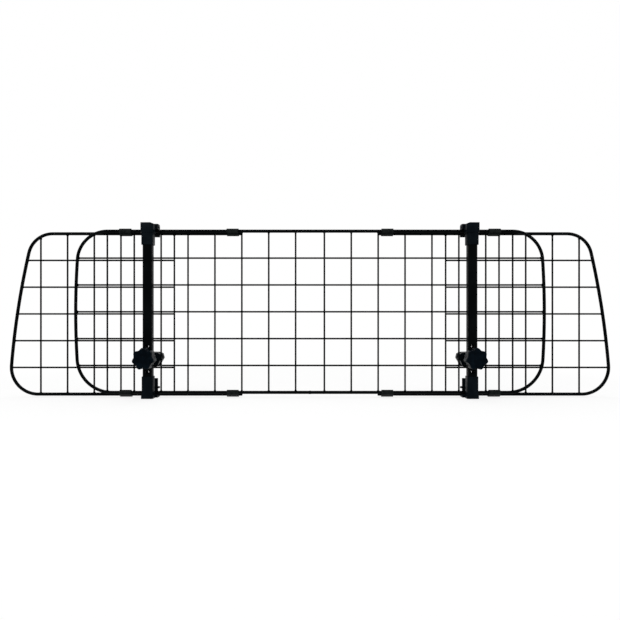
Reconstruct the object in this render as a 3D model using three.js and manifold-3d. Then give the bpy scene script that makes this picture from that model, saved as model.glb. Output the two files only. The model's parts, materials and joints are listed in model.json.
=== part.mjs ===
// A car dog guard that widens: a wire panel, two side panels that slide behind it, and two uprights with
// headrest clamps. Millimetres, +X to the right, +Y away from the boot, +Z up, floor of the feet at zero.
import * as THREE from "three";
import { mergeVertices } from "three/addons/utils/BufferGeometryUtils.js";
import Module from "manifold-3d";

const wasm = await Module();
wasm.setup();

// Rods and wires
const rodDiameter = 6;
const wireDiameter = 3;
const meshPitch = 50;
const meshRows = 6;
const weldSink = 0.4; // how far two crossing wires are pressed into each other
const weldGap = 0.3; // between the end of a wire and the rod that it meets
const bowRadius = 1500; // the end rods are bowed very slightly outwards
const bottomRodHeight = 9; // axis of the centre panel's bottom rod above the floor of the feet
const seamLength = 5; // collar of weld where the centre loop's two ends meet
const seamGap = 1;
const seamHeight = 0.3; // how far the weld stands off the rod
const endWireGap = 25; // least distance from a panel's outermost upright wire to its widest point

// Centre panel
const centreHalfWidth = 436;
const centreTopBend = 56;
const centreBottomBend = 65;
const centreWireOffset = 26.7; // from the middle of the panel to its first upright wires

// Side panels
const sideRodWidth = 437; // from the inner ends of the rod to the widest point of the panel
const sideMeshWidth = 309.4; // from the inner upright wire to the widest point
const sideLean = 219; // how far below the panel's middle the bow is widest
const sideTopBend = 46;
const sideBottomBend = 50;
const sideSetback = 6.5; // the side rods lie behind the centre rods
const sideDrop = 4; // and a little lower

// Two-barrel clips
const clipLength = 22;
const clipWall = 1.5;
const slidingGap = 0.3;
const outerClipInset = 92.5; // from the centre panel's widest point to the middle of its clips
const rodStub = 6.5; // end of a side rod that shows past its clip

// Uprights
const postWidth = 17;
const postWall = 1.5;
const postCorner = 2;
const postWireGap = 20.8; // from a centre upright wire to the middle of the post outside it
const postClipGap = 12; // least room between the post's hooks and the outer clips
const sideWireGap = 6.6; // from the middle of the post to the side panel's next upright wire
const fitGap = 0.3;
const boltHeight = 74.5;
const lowerHoleDrop = 25.2; // from the bolt's hole to the hole below it
const upperHoleRise = 21.2; // and to the hole above it
const holeDiameter = 6.6;

// Moulded hooks at both ends of an upright
const socketWall = 1.7;
const socketCorner = 2.5;
const hookGap = 0.4;
const legThickness = 3;
const legPastRod = 3;
const topHookHeight = 40.4;
const topHookRise = 13; // top of the hook above the axis of the top rod
const topHookFloor = 3; // plastic above the end of the post
const topHookWidth = 31;
const roofCorner = 5;
const capHeight = 18; // the upper part of the top hook is a little wider
const capFlare = 1.3;
const capSlopeWidth = 5.5; // its top slopes down at the end nearer the middle of the guard
const capSlopeDrop = 2;
const bottomHookHeight = 40.4;
const bottomHookFloor = 3;
const bottomHookSlim = 0.5; // the bottom hook is a little narrower than the top one
const bottomHookWidth = 23.5;
const bottomLegHeight = 34.4;
const lipWidth = 30; // bar across the back of the bottom hook
const lipHeight = 3.8;
const lipAt = 15.4;
const footFlare = 1;

// Clamp for a headrest stem
const boltDiameter = 6;
const hexAcross = 10;
const headHeight = 4;
const nutHeight = 5;
const spacerDiameter = 8.4;
const washerDiameter = 18;
const washerThickness = 1.6;
const jawFront = 24; // front face of the front jaw, behind the centre rods
const jawThickness = 11;
const jawGap = 8;
const jawHalfWidth = 15;
const jawFlare = 0.5; // the gripping end is a little wider
const jawHead = 10; // jaw past the bolt axis, at the bolt end
const jawHeadCorner = 6;
const jawBevelWidth = 18; // the other corner of that end is cut off further
const jawBevelHeight = 10;
const jawReach = 21.5; // and at the gripping end
const jawEndCorner = 8;
const jawNeck = 6.5; // where the flare starts, from the bolt axis
const grooveAt = 13; // stem groove, from the bolt axis
const grooveRadius = 7;
const grooveDepth = 4;
const jawTiltDegrees = 31;

// Star knob
const knobDiameter = 40;
const knobThickness = 25;
const lobeCount = 7;
const lobeDepth = 3.2;
const lobeTurnDegrees = 2;
const knobEdge = 2;
const hubDiameter = 18;
const hubLength = 4;
const knobFrontWall = 3;
const boltInKnob = 18; // length of bolt past the washer, with the jaws as they stand

// Facets of round pieces, and the overrun of every cut
const rodSides = 16;
const wireSides = 8;
const boreSides = 16;
const bendSteps = 8;
const bowSteps = 6;
const cornerSides = 4;
const lobeSteps = 8;
const cutOverrun = 1;

// Worked out from the sizes above
const rodRadius = rodDiameter / 2;
const wireRadius = wireDiameter / 2;
const wireOffset = wireRadius - weldSink / 2;
const holeRadius = holeDiameter / 2;
const panelHeight = meshPitch * meshRows;
const topRodHeight = bottomRodHeight + panelHeight;
const outerClipAt = centreHalfWidth - outerClipInset;
const postLimit = outerClipAt - clipLength / 2 - postClipGap - topHookWidth / 2;
const postCell = Math.floor((postLimit - postWireGap - centreWireOffset) / meshPitch);
const postAt = centreWireOffset + postCell * meshPitch + postWireGap;
const sideWireAt = postAt + sideWireGap - meshPitch; // the side panel's inner upright wire
const sideWidest = sideWireAt + sideMeshWidth;
const sideRodEnd = sideWidest - sideRodWidth;
const postHalf = postWidth / 2;
const socketHalf = postHalf + fitGap + socketWall;
const socketRear = -rodRadius - hookGap;
const postDepth = socketRear - socketWall - fitGap - postHalf; // Y of the post's axis
const postFront = postDepth - postHalf;
const postRear = postDepth + postHalf;
const legInner = sideSetback + rodRadius + hookGap;
const legOuter = legInner + legThickness;
const stepAt = rodRadius + hookGap;
const topHookTop = topRodHeight + topHookRise;
const knobRear = postFront - fitGap - washerThickness - fitGap;
const knobFront = knobRear - hubLength - knobThickness;
const rearJawFront = jawFront + jawThickness + jawGap;
const rearJawBack = rearJawFront + jawThickness;
const jawTilt = THREE.MathUtils.degToRad(jawTiltDegrees);
const lobeTurn = THREE.MathUtils.degToRad(lobeTurnDegrees);

// Finishes
const powderCoat = { color: 0x0d0d0e, roughness: 0.38, metalness: 0.1 };
const hookPlastic = { color: 0x14171a, roughness: 0.55, metalness: 0 };
const clipPlastic = { color: 0x101113, roughness: 0.5, metalness: 0 };
const knobPlastic = { color: 0x181d22, roughness: 0.5, metalness: 0 };
const zincPlate = { color: 0x9a9ca0, roughness: 0.35, metalness: 0.9 };

// A run of straight and bent stretches through a list of points, one step from each point to the next.
class RodRun extends THREE.Curve {
  constructor(points) {
    super();
    this.points = points;
    this.steps = points.length - 1;
  }

  getPointAt(u, target = new THREE.Vector3()) {
    return target.copy(this.points[Math.round(u * this.steps)]);
  }

  getTangentAt(u, target = new THREE.Vector3()) {
    const index = Math.round(u * this.steps);
    const here = this.points[index];
    target.set(0, 0, 0);
    if (index > 0) {
      target.add(here.clone().sub(this.points[index - 1]).normalize());
    }
    if (index < this.steps) {
      target.add(this.points[index + 1].clone().sub(here).normalize());
    }
    return target.normalize();
  }
}

function solidOf(geometry) {
  const bare = geometry.clone();
  bare.deleteAttribute("normal");
  bare.deleteAttribute("uv");
  const merged = mergeVertices(bare);
  return new wasm.Manifold(
    new wasm.Mesh({
      numProp: 3,
      vertProperties: merged.attributes.position.array,
      triVerts: new Uint32Array(merged.index.array),
    }),
  );
}

function geometryOf(solid) {
  const { numProp, vertProperties, triVerts } = solid.getMesh();
  const geometry = new THREE.BufferGeometry();
  geometry.setAttribute("position", new THREE.BufferAttribute(vertProperties, numProp));
  geometry.setIndex(new THREE.BufferAttribute(triVerts, 1));
  geometry.computeVertexNormals();
  return geometry;
}

function join(...geometries) {
  return geometryOf(geometries.map(solidOf).reduce((all, next) => all.add(next)));
}

function cut(geometry, ...cutters) {
  return geometryOf(cutters.map(solidOf).reduce((left, next) => left.subtract(next), solidOf(geometry)));
}

// An arc in an outline is drawn with two sides for each of its curve segments.
function arcSteps(sides) {
  return Math.round(sides / 2);
}

// An outline drawn across, then up, runs along X, Y or Z from the given start.
function alongX(shape, start, length) {
  const geometry = new THREE.ExtrudeGeometry(shape, {
    depth: length,
    bevelEnabled: false,
    curveSegments: arcSteps(boreSides),
  });
  const turn = new THREE.Matrix4().makeBasis(
    new THREE.Vector3(0, 1, 0),
    new THREE.Vector3(0, 0, 1),
    new THREE.Vector3(1, 0, 0),
  );
  return geometry.applyMatrix4(turn).translate(start, 0, 0);
}

function alongY(shape, start, length, options = {}) {
  const geometry = new THREE.ExtrudeGeometry(shape, {
    depth: length,
    bevelEnabled: false,
    curveSegments: arcSteps(boreSides),
    ...options,
  });
  return geometry.rotateX(Math.PI / 2).translate(0, start + length, 0);
}

function alongZ(shape, start, length) {
  return new THREE.ExtrudeGeometry(shape, {
    depth: length,
    bevelEnabled: false,
    curveSegments: arcSteps(cornerSides),
  }).translate(0, 0, start);
}

// Round and six-sided bars about an axis parallel to Y.
function barAlongY(radius, start, length, sides = boreSides) {
  return new THREE.CylinderGeometry(radius, radius, length, sides).translate(0, start + length / 2, 0);
}

function hexAlongY(across, start, length) {
  return barAlongY(across / 2 / Math.cos(Math.PI / 6), start, length, 6);
}

function ring(outerRadius, innerRadius) {
  const shape = new THREE.Shape().absarc(0, 0, outerRadius, 0, 2 * Math.PI, false);
  shape.holes.push(new THREE.Path().absarc(0, 0, innerRadius, 0, 2 * Math.PI, true));
  return shape;
}

function polygon(points) {
  return new THREE.Shape(points.map(([across, up]) => new THREE.Vector2(across, up)));
}

// A rectangle with rounded corners, as an outline or as a hole in one.
function roundedRectangle(left, right, low, high, corner, outline = new THREE.Shape()) {
  const quarter = Math.PI / 2;
  outline.absarc(right - corner, high - corner, corner, 0, quarter, false);
  outline.absarc(left + corner, high - corner, corner, quarter, 2 * quarter, false);
  outline.absarc(left + corner, low + corner, corner, 2 * quarter, 3 * quarter, false);
  outline.absarc(right - corner, low + corner, corner, 3 * quarter, 4 * quarter, false);
  outline.closePath();
  return outline;
}

function bentRod(points, diameter) {
  const section = new THREE.Shape().absarc(0, 0, diameter / 2, 0, 2 * Math.PI, false);
  const run = new RodRun(points);
  return new THREE.ExtrudeGeometry(section, {
    steps: run.steps,
    extrudePath: run,
    curveSegments: arcSteps(rodSides),
  });
}

function levelWire(from, to, depth, height) {
  return new THREE.CylinderGeometry(wireRadius, wireRadius, to - from, wireSides)
    .rotateZ(-Math.PI / 2)
    .translate((from + to) / 2, depth, height);
}

function uprightWire(across, depth, low, high) {
  return new THREE.CylinderGeometry(wireRadius, wireRadius, high - low, wireSides)
    .rotateX(Math.PI / 2)
    .translate(across, depth, (low + high) / 2);
}

// How far a wire stops short of a rod's axis where the rod slopes across it.
function wireStop(slope) {
  return (rodRadius + weldGap) / Math.cos(slope) + wireRadius * Math.tan(slope);
}

function arc(centre, radius, from, to, steps) {
  return Array.from({ length: steps + 1 }, (_, step) => {
    const angle = from + ((to - from) * step) / steps;
    return new THREE.Vector2(centre.x + radius * Math.cos(angle), centre.y + radius * Math.sin(angle));
  });
}

// The right-hand end of a panel: a bend, a long shallow bow and a bend, each running smoothly into the next.
function panelEnd({ widest, bowHeight, top, topBend, bottomBend }) {
  const bow = new THREE.Vector2(widest - bowRadius, bowHeight);
  const bottom = top - panelHeight;
  const bendCentre = (height, radius) =>
    new THREE.Vector2(bow.x + Math.sqrt((bowRadius - radius) ** 2 - (height - bow.y) ** 2), height);
  const upper = bendCentre(top - topBend, topBend);
  const lower = bendCentre(bottom + bottomBend, bottomBend);
  const upperAngle = Math.atan2(upper.y - bow.y, upper.x - bow.x);
  const lowerAngle = Math.atan2(lower.y - bow.y, lower.x - bow.x);
  const points = [
    ...arc(upper, topBend, Math.PI / 2, upperAngle, bendSteps),
    ...arc(bow, bowRadius, upperAngle, lowerAngle, bowSteps).slice(1),
    ...arc(lower, bottomBend, lowerAngle, -Math.PI / 2, bendSteps).slice(1),
  ];
  // Both ends of an upright wire, and the outer end of a level one.
  const upright = (across) => {
    const topSlope = Math.asin(Math.max((across - upper.x) / topBend, 0));
    const bottomSlope = Math.asin(Math.max((across - lower.x) / bottomBend, 0));
    return {
      high: upper.y + topBend * Math.cos(topSlope) - wireStop(topSlope),
      low: lower.y - bottomBend * Math.cos(bottomSlope) + wireStop(bottomSlope),
    };
  };
  const level = (height) => {
    const inTopBend = height > bow.y + bowRadius * Math.sin(upperAngle);
    const inBottomBend = height < bow.y + bowRadius * Math.sin(lowerAngle);
    const [bentCentre, bentRadius] = inTopBend ? [upper, topBend] : [lower, bottomBend];
    const [centre, radius] = inTopBend || inBottomBend ? [bentCentre, bentRadius] : [bow, bowRadius];
    const slope = Math.asin(Math.abs(height - centre.y) / radius);
    return centre.x + radius * Math.cos(slope) - wireStop(slope);
  };
  return { points, upright, level };
}

function at(depth, points) {
  return points.map((point) => new THREE.Vector3(point.x, depth, point.y));
}

const centreEnd = panelEnd({
  widest: centreHalfWidth,
  bowHeight: topRodHeight - panelHeight / 2,
  top: topRodHeight,
  topBend: centreTopBend,
  bottomBend: centreBottomBend,
});

const sideEnd = panelEnd({
  widest: sideWidest,
  bowHeight: topRodHeight - sideDrop - panelHeight / 2 - sideLean,
  top: topRodHeight - sideDrop,
  topBend: sideTopBend,
  bottomBend: sideBottomBend,
});

// One loop of rod, closed by a collar of weld in the middle of its bottom run.
function centreFrame() {
  const seam = new THREE.Vector2(seamGap / 2, bottomRodHeight);
  const right = centreEnd.points;
  const half = [...right, seam];
  const otherHalf = half.map((point) => new THREE.Vector2(-point.x, point.y)).reverse();
  const loop = bentRod(at(0, [...otherHalf, ...half]), rodDiameter);
  const collarRadius = rodRadius + seamHeight;
  const collar = new THREE.CylinderGeometry(collarRadius, collarRadius, seamLength, rodSides);
  return join(loop, collar.rotateZ(Math.PI / 2).translate(0, 0, bottomRodHeight));
}

function rowHeights(top) {
  return Array.from({ length: meshRows - 1 }, (_, row) => top - (row + 1) * meshPitch);
}

// Upright wires stand a pitch apart, from the innermost one out to the last that the panel has room for.
function uprightPlaces(innermost, widest) {
  const count = Math.floor((widest - endWireGap - innermost) / meshPitch) + 1;
  return Array.from({ length: count }, (_, step) => innermost + step * meshPitch);
}

function centreMesh() {
  const wires = rowHeights(topRodHeight).map((height) => {
    const reach = centreEnd.level(height);
    return levelWire(-reach, reach, wireOffset, height);
  });
  for (const across of uprightPlaces(centreWireOffset, centreHalfWidth)) {
    const { low, high } = centreEnd.upright(across);
    wires.push(uprightWire(across, -wireOffset, low, high));
    wires.push(uprightWire(-across, -wireOffset, low, high));
  }
  return join(...wires);
}

// The rod of a side panel is a U that opens towards the middle.
function sideFrame() {
  const top = new THREE.Vector2(sideRodEnd, topRodHeight - sideDrop);
  const bottom = new THREE.Vector2(sideRodEnd, bottomRodHeight - sideDrop);
  return bentRod(at(sideSetback, [top, ...sideEnd.points, bottom]), rodDiameter);
}

function sideMesh() {
  const wires = rowHeights(topRodHeight - sideDrop).map((height) =>
    levelWire(sideWireAt, sideEnd.level(height), sideSetback - wireOffset, height),
  );
  for (const across of uprightPlaces(sideWireAt, sideWidest)) {
    const { low, high } = sideEnd.upright(across);
    wires.push(uprightWire(across, sideSetback + wireOffset, low, high));
  }
  return join(...wires);
}

// A clip has a barrel for the centre rod and one for the side rod, behind it and lower. Each barrel has a
// slot on the side of the mesh, up or down, that the upright wires pass through when a side panel slides.
function clip(middle, towardsMesh) {
  const bore = rodRadius + slidingGap;
  const outside = bore + clipWall;
  const slope = Math.atan2(-sideDrop, sideSetback);
  const quarter = Math.PI / 2;
  const shape = new THREE.Shape();
  shape.absarc(0, 0, outside, slope + quarter, slope + 3 * quarter, false);
  shape.absarc(sideSetback, -sideDrop, outside, slope - quarter, slope + quarter, false);
  shape.closePath();
  shape.holes.push(new THREE.Path().absarc(0, 0, bore, 0, 2 * Math.PI, true));
  shape.holes.push(new THREE.Path().absarc(sideSetback, -sideDrop, bore, 0, 2 * Math.PI, true));
  const slotHeight = outside + cutOverrun;
  const slots = [
    [-wireOffset, 0],
    [sideSetback + wireOffset, -sideDrop],
  ].map(([depth, height]) =>
    new THREE.BoxGeometry(clipLength + 2 * cutOverrun, wireDiameter + 2 * slidingGap, slotHeight).translate(
      middle,
      depth,
      height + (towardsMesh * slotHeight) / 2,
    ),
  );
  return cut(alongX(shape, middle - clipLength / 2, clipLength), ...slots);
}

// Square tube with through-holes for the clamp bolt.
function post() {
  const outline = roundedRectangle(-postHalf, postHalf, -postHalf, postHalf, postCorner);
  const bore = postHalf - postWall;
  const boreCorner = postCorner - postWall;
  outline.holes.push(roundedRectangle(-bore, bore, -bore, bore, boreCorner, new THREE.Path()));
  const low = bottomHookFloor + fitGap;
  const high = topHookTop - topHookFloor - fitGap;
  const tube = alongZ(outline, low, high - low);
  const holes = [-lowerHoleDrop, 0, upperHoleRise].map((rise) =>
    barAlongY(holeRadius, -postHalf - cutOverrun, postWidth + 2 * cutOverrun).translate(
      0,
      0,
      boltHeight + rise,
    ),
  );
  return cut(tube, ...holes).translate(0, postDepth, 0);
}

function socket(low, high, flare) {
  const front = socketRear - 2 * socketHalf - flare;
  const half = socketHalf + flare;
  return alongZ(roundedRectangle(-half, half, front, socketRear, socketCorner), low, high - low);
}

function postHollow(low, high) {
  const half = postHalf + fitGap;
  const corner = postCorner - fitGap;
  const outline = roundedRectangle(-half, half, postDepth - half, postDepth + half, corner);
  return alongZ(outline, low, high - low);
}

// The top hook caps the post and reaches down behind both top rods.
function topHook() {
  const bottom = topHookTop - topHookHeight;
  const centreRoof = topRodHeight + rodRadius + hookGap;
  const sideRoof = centreRoof - sideDrop;
  const legEnd = topRodHeight - sideDrop - rodRadius - legPastRod;
  const root = socketRear - socketWall;
  const profile = new THREE.Shape();
  profile.moveTo(root, topHookTop);
  profile.lineTo(root, centreRoof);
  profile.lineTo(stepAt, centreRoof);
  profile.lineTo(stepAt, sideRoof);
  profile.lineTo(legInner, sideRoof);
  profile.lineTo(legInner, legEnd);
  profile.lineTo(legOuter, legEnd);
  profile.absarc(legOuter - roofCorner, topHookTop - roofCorner, roofCorner, 0, Math.PI / 2, false);
  profile.closePath();
  const body = join(
    socket(bottom, topHookTop, 0),
    socket(topHookTop - capHeight, topHookTop, capFlare),
    alongX(profile, -topHookWidth / 2, topHookWidth),
  );
  const capHalf = socketHalf + capFlare;
  const capFront = socketRear - 2 * socketHalf - capFlare;
  const slope = polygon([
    [-capHalf - cutOverrun, topHookTop - capSlopeDrop],
    [-capHalf, topHookTop - capSlopeDrop],
    [capSlopeWidth - capHalf, topHookTop],
    [capSlopeWidth - capHalf, topHookTop + cutOverrun],
    [-capHalf - cutOverrun, topHookTop + cutOverrun],
  ]);
  const slopeCut = alongY(slope, capFront - cutOverrun, root + cutOverrun - capFront);
  return cut(body, postHollow(bottom - cutOverrun, topHookTop - topHookFloor), slopeCut);
}

// The bottom hook is the foot of the post, and holds both bottom rods from below.
function bottomHook() {
  const centreFloor = bottomRodHeight - rodRadius - hookGap;
  const sideFloor = centreFloor - sideDrop;
  const root = socketRear - socketWall;
  const footRear = legOuter + footFlare;
  const channel = [
    [legInner, sideFloor],
    [stepAt, sideFloor],
    [stepAt, centreFloor],
  ];
  const leg = polygon([
    [root, 0],
    [legOuter, 0],
    [legOuter, bottomLegHeight],
    [legInner, bottomLegHeight],
    ...channel,
    [root, centreFloor],
  ]);
  const foot = polygon([
    [root, 0],
    [footRear, 0],
    [footRear, centreFloor],
    [legInner, centreFloor],
    ...channel,
    [root, centreFloor],
  ]);
  const lip = polygon([
    [legInner, lipAt],
    [legOuter + footFlare, lipAt],
    [legOuter + footFlare, lipAt + lipHeight],
    [legInner, lipAt + lipHeight],
  ]);
  const body = join(
    socket(0, bottomHookHeight, -bottomHookSlim),
    socket(0, centreFloor, footFlare - bottomHookSlim),
    alongX(leg, -bottomHookWidth / 2, bottomHookWidth),
    alongX(foot, -lipWidth / 2, lipWidth),
    alongX(lip, -lipWidth / 2, lipWidth),
  );
  return cut(body, postHollow(bottomHookFloor, bottomHookHeight + cutOverrun));
}

// The jaws are alike but face each other: the groove for the headrest stem is in the face at grooveFace.
function jaw(front, grooveFace, inward) {
  const gripHalf = jawHalfWidth + jawFlare;
  const outline = polygon([
    [gripHalf, -jawReach + jawEndCorner],
    [gripHalf, -jawNeck - jawFlare],
    [jawHalfWidth, -jawNeck],
    [jawHalfWidth, jawHead - jawBevelHeight],
    [jawHalfWidth - jawBevelWidth, jawHead],
    [jawHeadCorner - jawHalfWidth, jawHead],
    [-jawHalfWidth, jawHead - jawHeadCorner],
    [-jawHalfWidth, -jawNeck],
    [-gripHalf, -jawNeck - jawFlare],
    [-gripHalf, -jawReach + jawEndCorner],
    [jawEndCorner - gripHalf, -jawReach],
    [gripHalf - jawEndCorner, -jawReach],
  ]);
  const grooveLength = 2 * (gripHalf + cutOverrun);
  const groove = new THREE.CylinderGeometry(grooveRadius, grooveRadius, grooveLength, boreSides)
    .rotateZ(Math.PI / 2)
    .translate(0, grooveFace - inward * (grooveRadius - grooveDepth), -grooveAt);
  const hole = barAlongY(holeRadius, front - cutOverrun, jawThickness + 2 * cutOverrun);
  return cut(alongY(outline, front, jawThickness), groove, hole);
}

function rearJaw() {
  const pocketDepth = headHeight + fitGap;
  const pocket = hexAlongY(hexAcross + 2 * fitGap, rearJawBack - pocketDepth, pocketDepth + cutOverrun);
  return cut(jaw(rearJawFront, rearJawFront, 1), pocket);
}

function clampBolt() {
  const tip = knobRear - boltInKnob;
  const headFront = rearJawBack - headHeight;
  return join(
    barAlongY(boltDiameter / 2, tip, headFront + headHeight / 2 - tip, rodSides),
    hexAlongY(hexAcross, headFront, headHeight),
  );
}

// Star knob with its hub behind it, and a pocket for the nut that the bolt runs in.
function knob() {
  const middle = (knobDiameter - lobeDepth) / 2;
  const outlinePoints = Array.from({ length: lobeCount * lobeSteps }, (_, step) => {
    const angle = (2 * Math.PI * step) / (lobeCount * lobeSteps);
    const radius = middle + (lobeDepth / 2) * Math.cos(lobeCount * (angle - lobeTurn));
    return new THREE.Vector2(radius * Math.sin(angle), radius * Math.cos(angle));
  });
  const star = alongY(
    new THREE.Shape(outlinePoints.reverse()),
    knobFront + knobEdge,
    knobThickness - 2 * knobEdge,
    {
      bevelEnabled: true,
      bevelThickness: knobEdge,
      bevelSize: knobEdge,
      bevelOffset: -knobEdge,
      bevelSegments: 2,
    },
  );
  const hubFront = knobFront + knobThickness - knobEdge;
  const hub = barAlongY(hubDiameter / 2, hubFront, knobRear - hubFront);
  const boreEnd = knobFront + knobFrontWall;
  const bore = barAlongY(holeRadius, boreEnd, knobRear - boreEnd + cutOverrun);
  const pocketDepth = nutHeight + fitGap;
  const pocket = hexAlongY(hexAcross + 2 * fitGap, knobRear - pocketDepth, pocketDepth + cutOverrun);
  return cut(join(star, hub), bore, pocket);
}

function knobNut() {
  return cut(
    hexAlongY(hexAcross, knobRear - nutHeight, nutHeight),
    barAlongY(holeRadius, knobRear - nutHeight - cutOverrun, nutHeight + 2 * cutOverrun),
  );
}

function washer() {
  return alongY(ring(washerDiameter / 2, holeRadius), postFront - fitGap - washerThickness, washerThickness);
}

function spacer() {
  const start = postRear + fitGap;
  return alongY(ring(spacerDiameter / 2, holeRadius), start, jawFront - fitGap - start);
}

function piece(name, geometry, finish) {
  const mesh = new THREE.Mesh(geometry, new THREE.MeshStandardMaterial(finish));
  mesh.name = name;
  return mesh;
}

// Everything on the right-hand side; the left-hand side is its mirror image.
function halfGuard(side) {
  const half = new THREE.Group();
  const innerClipAt = sideRodEnd + rodStub + clipLength / 2;
  half.add(piece(`${side}_side_frame`, sideFrame(), powderCoat));
  half.add(piece(`${side}_side_mesh`, sideMesh(), powderCoat));
  for (const [level, height, towardsMesh] of [
    ["top", topRodHeight, -1],
    ["bottom", bottomRodHeight, 1],
  ]) {
    for (const [place, across] of [
      ["outer", outerClipAt],
      ["inner", innerClipAt],
    ]) {
      const moulded = piece(`${side}_${place}_${level}_clip`, clip(across, towardsMesh), clipPlastic);
      moulded.position.z = height;
      half.add(moulded);
    }
  }
  const upright = new THREE.Group();
  upright.position.x = postAt;
  upright.add(piece(`${side}_post`, post(), powderCoat));
  upright.add(piece(`${side}_top_hook`, topHook(), hookPlastic));
  upright.add(piece(`${side}_bottom_hook`, bottomHook(), hookPlastic));
  const clamp = new THREE.Group();
  clamp.position.z = boltHeight;
  clamp.add(piece(`${side}_knob`, knob(), knobPlastic));
  clamp.add(piece(`${side}_knob_nut`, knobNut(), zincPlate));
  clamp.add(piece(`${side}_washer`, washer(), zincPlate));
  clamp.add(piece(`${side}_spacer`, spacer(), zincPlate));
  const jaws = new THREE.Group();
  jaws.rotation.y = -jawTilt;
  jaws.add(piece(`${side}_front_jaw`, jaw(jawFront, jawFront + jawThickness, -1), hookPlastic));
  jaws.add(piece(`${side}_rear_jaw`, rearJaw(), hookPlastic));
  jaws.add(piece(`${side}_clamp_bolt`, clampBolt(), zincPlate));
  clamp.add(jaws);
  upright.add(clamp);
  half.add(upright);
  return half;
}

const guard = new THREE.Group();
guard.add(piece("centre_frame", centreFrame(), powderCoat));
guard.add(piece("centre_mesh", centreMesh(), powderCoat));
const leftHalf = halfGuard("left");
leftHalf.scale.x = -1;
guard.add(leftHalf);
guard.add(halfGuard("right"));
guard.position.y = -(knobFront + rearJawBack) / 2;

export default guard;
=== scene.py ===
# Car dog guard: a wire panel, two side panels that slide behind it, and two uprights with headrest clamps.
# Sizes are in millimetres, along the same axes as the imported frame.
import json
import math

import bmesh
import bpy
from mathutils import Matrix, Vector


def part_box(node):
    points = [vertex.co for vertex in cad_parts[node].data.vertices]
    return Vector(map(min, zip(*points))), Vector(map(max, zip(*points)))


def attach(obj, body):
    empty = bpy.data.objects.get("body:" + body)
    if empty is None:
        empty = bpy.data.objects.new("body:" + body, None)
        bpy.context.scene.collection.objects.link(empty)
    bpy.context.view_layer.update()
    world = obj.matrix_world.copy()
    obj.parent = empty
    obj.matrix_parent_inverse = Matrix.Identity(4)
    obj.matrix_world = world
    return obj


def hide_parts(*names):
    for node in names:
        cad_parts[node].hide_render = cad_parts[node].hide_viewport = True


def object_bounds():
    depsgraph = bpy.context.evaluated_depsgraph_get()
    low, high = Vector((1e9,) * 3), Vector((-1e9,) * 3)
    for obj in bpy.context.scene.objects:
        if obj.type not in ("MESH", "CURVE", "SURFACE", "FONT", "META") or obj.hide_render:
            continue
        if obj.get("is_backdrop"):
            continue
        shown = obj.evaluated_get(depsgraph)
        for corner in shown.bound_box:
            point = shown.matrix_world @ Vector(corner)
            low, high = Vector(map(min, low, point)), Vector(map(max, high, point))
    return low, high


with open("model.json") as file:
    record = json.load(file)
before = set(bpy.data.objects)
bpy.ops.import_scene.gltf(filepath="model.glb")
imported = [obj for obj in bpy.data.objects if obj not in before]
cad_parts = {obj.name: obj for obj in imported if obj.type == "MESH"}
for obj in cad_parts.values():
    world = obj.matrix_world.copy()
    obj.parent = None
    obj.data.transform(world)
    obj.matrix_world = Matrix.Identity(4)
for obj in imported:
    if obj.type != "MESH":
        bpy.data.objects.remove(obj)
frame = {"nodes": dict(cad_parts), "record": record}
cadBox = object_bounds()
scene = bpy.context.scene
mm = 0.001
quarter = math.pi / 2
overrun = 1.0  # how far a cutter passes the faces that it cuts
bodies = frame["record"]["behaviour"]["bodies"]
bodyOf = {node: body for body, nodes in bodies.items() for node in nodes}
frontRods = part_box("centre_frame")
shift = (frontRods[0].y + frontRods[1].y) / 2 / mm  # how far back the centre rods stand in the frame
boltAxis = {"across": 297.5, "height": 74.5}  # from the middle of the guard, and from the floor
print("frame loaded:", len(frame["nodes"]), "nodes")


def depths(node):  # front and back of a node, behind the axis of the centre rods
    return tuple(place.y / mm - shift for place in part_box(node))


def levels(node):  # bottom and top of a node
    return tuple(place.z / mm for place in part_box(node))


class Flow:  # wraps a socket, so that an expression on it adds the nodes
    def __init__(self, tree, socket=None):
        self.tree = tree
        self.socket = socket

    def add(self, kind, settings=None, values=None, out=0):
        node = self.tree.nodes.new(kind)
        for name, value in (settings or {}).items():
            setattr(node, name, value)
        for name, value in (values or {}).items():
            for item in value if isinstance(value, list) else [value]:
                if isinstance(item, Flow):
                    self.tree.links.new(item.socket, node.inputs[name])
                else:
                    node.inputs[name].default_value = item
        return Flow(self.tree, node.outputs[out]) if len(node.outputs) else None

    def math(self, operation, *others):
        values = {index: item for index, item in enumerate((self, *others))}
        return self.add("ShaderNodeMath", {"operation": operation}, values)

    def reckon(self, operation, first, second):  # colours by Mix, vectors by Vector Math, numbers by Math
        def spread(item, size):  # a plain number stands for all the channels
            return item if isinstance(item, (Flow, tuple)) else (item,) * size

        kinds = [item.socket.type for item in (first, second) if isinstance(item, Flow)]
        if "RGBA" in kinds:
            values = {0: 1.0, 6: spread(first, 4), 7: spread(second, 4)}
            return self.add("ShaderNodeMix", {"data_type": "RGBA", "blend_type": operation}, values, 2)
        if "VECTOR" in kinds:
            values = {0: spread(first, 3), 1: spread(second, 3)}
            return self.add("ShaderNodeVectorMath", {"operation": operation}, values)
        return self.add("ShaderNodeMath", {"operation": operation}, {0: first, 1: second})

    def __add__(self, other):
        return self.reckon("ADD", self, other)

    def __radd__(self, other):
        return self.reckon("ADD", other, self)

    def __sub__(self, other):
        return self.reckon("SUBTRACT", self, other)

    def __rsub__(self, other):
        return self.reckon("SUBTRACT", other, self)

    def __mul__(self, other):
        return self.reckon("MULTIPLY", self, other)

    def __rmul__(self, other):
        return self.reckon("MULTIPLY", other, self)

    def __truediv__(self, other):
        return self.reckon("DIVIDE", self, other)

    def __rtruediv__(self, other):
        return self.reckon("DIVIDE", other, self)


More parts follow.
